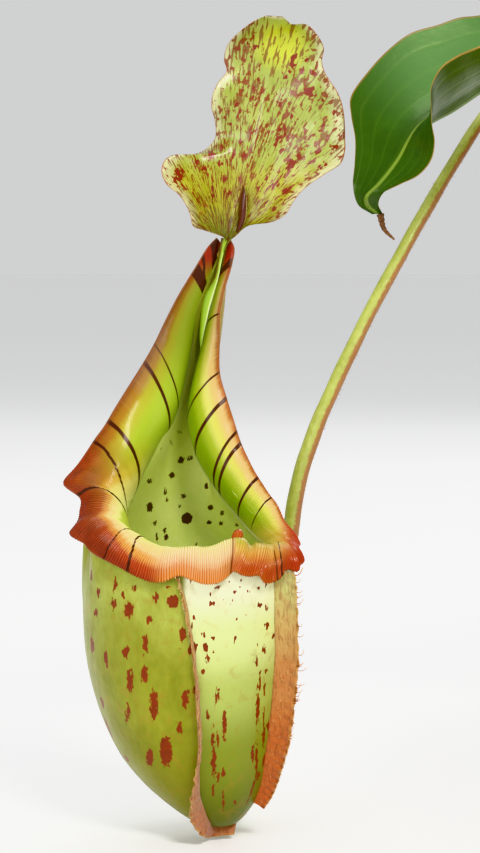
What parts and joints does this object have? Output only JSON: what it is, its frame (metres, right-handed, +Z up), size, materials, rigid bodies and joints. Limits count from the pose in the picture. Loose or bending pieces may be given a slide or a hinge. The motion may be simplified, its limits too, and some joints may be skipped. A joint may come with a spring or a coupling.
{
  "type": "potted nepenthes hybrid",
  "caption": "Pitcher plant in a round clay pot: a rosette of strap leaves on a short stem and a large ground pitcher with a ribbed rim, fringed wings and a raised lid.",
  "frame": {"origin": "centre of the pot's flat base, on the surface that it stands on", "axes": "+Z up along the stem; +X away from the ground pitcher, which stands towards -X; the pitcher's front looks towards -Y"},
  "size_m": [0.8837, 0.7426, 0.4785],
  "materials": {
    "clay": "matt unglazed clay",
    "bark_mix": "coarse bark chips with moss and perlite",
    "stem_green": "green to brown stem",
    "leaf_green": "glossy dark green leathery leaf",
    "tendril_green": "pale green, satin, with short brown hairs",
    "cup_green": "satin yellow-green with dark red blotches",
    "rim_orange": "glossy fine ribs, lime green inside to orange-red outside, with dark stripes",
    "wing_brown": "satin orange-brown to green, with a fringe of hairs",
    "lid_yellow": "satin yellow-green with red-brown blotches"
  },
  "bodies": {
    "root": {"pot": "clay", "potting_mix": "bark_mix", "stem": "stem_green", "new_leaf": "leaf_green", "leaf_1": "leaf_green", "tendril_1": "tendril_green", "leaf_2": "leaf_green", "tendril_2": "tendril_green", "leaf_3": "leaf_green", "tendril_3": "tendril_green", "leaf_4": "leaf_green", "tendril_4": "tendril_green", "leaf_5": "leaf_green", "tendril_5": "tendril_green", "leaf_6": "leaf_green", "tendril_6": "tendril_green", "leaf_7": "leaf_green", "tendril_7": "tendril_green", "leaf_8": "leaf_green", "tendril_8": "tendril_green", "pitcher_cup": "cup_green", "peristome": "rim_orange", "wing_left": "wing_brown", "wing_right": "wing_brown", "lid": "lid_yellow"}
  },
  "joints": []
}
